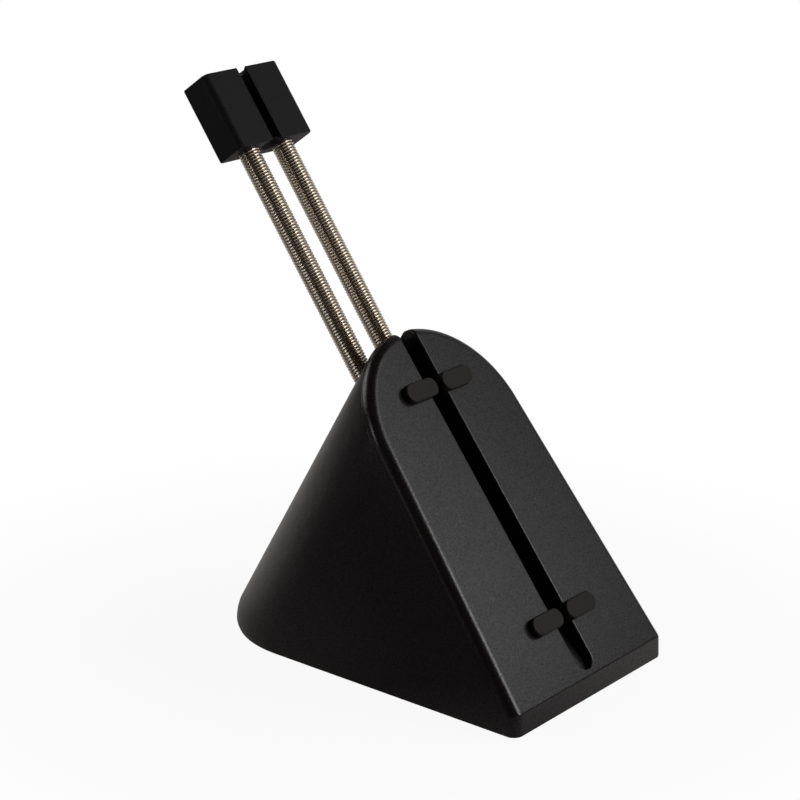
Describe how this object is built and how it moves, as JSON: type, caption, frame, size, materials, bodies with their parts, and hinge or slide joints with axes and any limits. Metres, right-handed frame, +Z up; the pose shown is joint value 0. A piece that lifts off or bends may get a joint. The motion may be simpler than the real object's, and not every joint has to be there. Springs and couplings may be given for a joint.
{
  "type": "mouse bungee",
  "caption": "Weighted wedge-shaped desk stand with a sloping cable channel, rubber grips and a sprung twin-coil arm whose slit head holds up a mouse cable.",
  "frame": {"origin": "on the floor under the feet, at the middle of the overall box in plan", "axes": "+X to the left of the slope seen in the picture, across the springs; +Y from the arm towards the sloping cover; +Z up"},
  "size_m": [0.07, 0.128, 0.1564],
  "materials": {
    "shell_plastic": "fine moulded grain",
    "base_plastic": "plain moulded",
    "grip_rubber": "matte",
    "foot_rubber": "matte",
    "head_rubber": "satin",
    "spring_wire": "bright nickel plate",
    "peg_steel": "turned",
    "screw_steel": "zinc plated",
    "ballast_steel": "sawn bar"
  },
  "bodies": {
    "base": {"front_shell": "shell_plastic", "back_cover": "shell_plastic", "base_plate": "base_plastic", "spring_holder": "base_plastic", "spring_clamp": "base_plastic", "ballast": "ballast_steel", "left_lower_peg": "peg_steel", "right_lower_peg": "peg_steel", "upper_left_grip": "grip_rubber", "upper_right_grip": "grip_rubber", "lower_left_grip": "grip_rubber", "lower_right_grip": "grip_rubber", "front_left_foot": "foot_rubber", "front_right_foot": "foot_rubber", "rear_left_foot": "foot_rubber", "rear_right_foot": "foot_rubber", "base_screws": "screw_steel", "ballast_screws": "screw_steel", "clamp_screws": "screw_steel"},
    "springs": {"left_spring": "spring_wire", "right_spring": "spring_wire"},
    "head": {"head": "head_rubber", "left_upper_peg": "peg_steel", "right_upper_peg": "peg_steel"}
  },
  "joints": [
    {"name": "arm_nod", "type": "hinge", "parent": "base", "child": "springs", "pos_m": [0, -0.01745, 0.09181], "axis": [1, 0, 0], "range_deg": [-25, 35], "stiffness_Nm_per_rad": 0.06, "springref_deg": -4.3, "deforming": ["left_spring", "right_spring"]},
    {"name": "arm_sway", "type": "hinge", "parent": "springs", "child": "head", "pos_m": [0, -0.03765, 0.12039], "axis": [0, 0.8166, 0.5771], "range_deg": [-20, 20], "stiffness_Nm_per_rad": 0.06, "deforming": ["left_spring", "right_spring"]}
  ]
}
